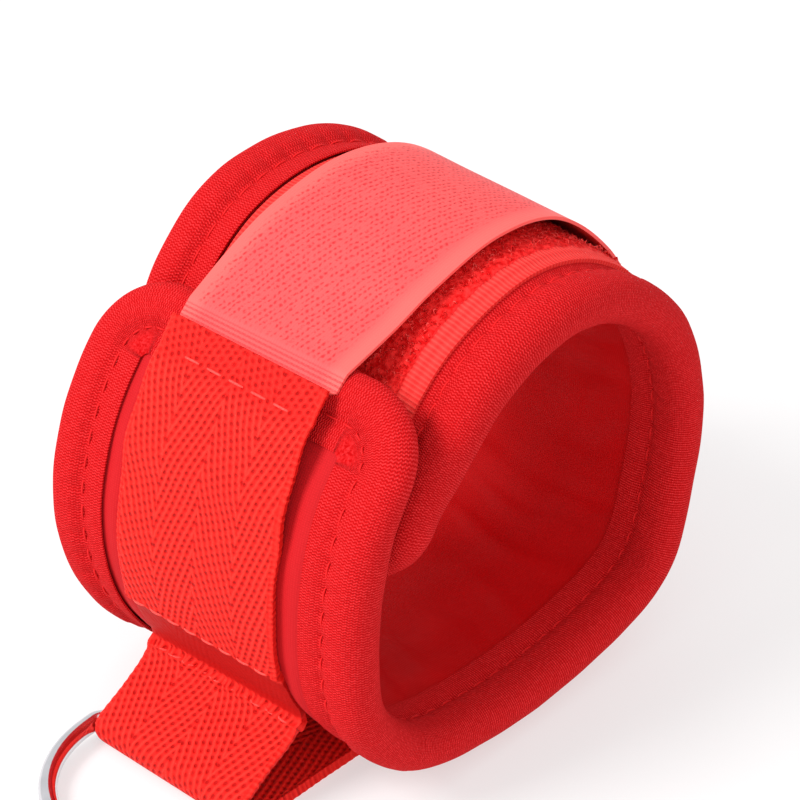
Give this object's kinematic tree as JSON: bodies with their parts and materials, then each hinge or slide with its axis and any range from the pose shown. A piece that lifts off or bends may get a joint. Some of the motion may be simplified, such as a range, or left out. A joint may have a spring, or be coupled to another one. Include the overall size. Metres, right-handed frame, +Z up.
{
  "type": "padded wrist cuff",
  "caption": "Padded fabric cuff that wraps round a wrist or ankle, closed by hook-and-loop tape, with a strap loop holding a metal D-ring.",
  "frame": {"origin": "centre of the bounding box in X and Y, at the underside of the strap that the cuff rests on", "axes": "+X along the wrist hole, -Y towards the D-ring, +Z up from the table"},
  "size_m": [0.0736, 0.1326, 0.0953],
  "materials": {
    "cover_knit": "smooth knit",
    "binding_knit": "zigzag knit, plump",
    "lining_fabric": "smooth, softly wrinkled",
    "foam": "open foam, hidden",
    "webbing": "herringbone webbing",
    "loop_pile": "fuzzy pile with woven selvages",
    "hook_tape_back": "woven tape, hook side down",
    "thread": "sewing thread",
    "chromed_wire": "polished chrome"
  },
  "bodies": {
    "cuff": {"band_outer_cover": "cover_knit", "band_foam_core": "foam", "band_lining": "lining_fabric", "band_edge_binding": "binding_knit", "band_binding_thread": "thread", "loop_tape": "loop_pile", "loop_tape_thread": "thread", "ring_strap": "webbing", "strap_lower_thread": "thread"},
    "flap": {"flap_outer_cover": "cover_knit", "flap_foam_core": "foam", "flap_lining": "lining_fabric", "flap_edge_binding": "binding_knit", "flap_binding_thread_near": "thread", "flap_binding_thread_far": "thread", "flap_strap": "webbing", "hook_tape_sewn_end": "hook_tape_back", "strap_end_thread": "thread", "strap_upper_thread": "thread"},
    "closing_tape": {"hook_tape": "hook_tape_back"},
    "ring": {"d_ring": "chromed_wire"}
  },
  "joints": [
    {"name": "flap_hinge", "type": "hinge", "parent": "cuff", "child": "flap", "pos_m": [0, -0.03236, 0.02446], "axis": [1, 0, 0], "range_deg": [0, 50]},
    {"name": "closing_tape_hinge", "type": "hinge", "parent": "flap", "child": "closing_tape", "pos_m": [0, -0.01525, 0.0818], "axis": [1, 0, 0], "range_deg": [0, 70]},
    {"name": "ring_hinge", "type": "hinge", "parent": "cuff", "child": "ring", "pos_m": [0, -0.03965, 0.0037], "axis": [-1, 0, 0], "range_deg": [0, 80]}
  ]
}
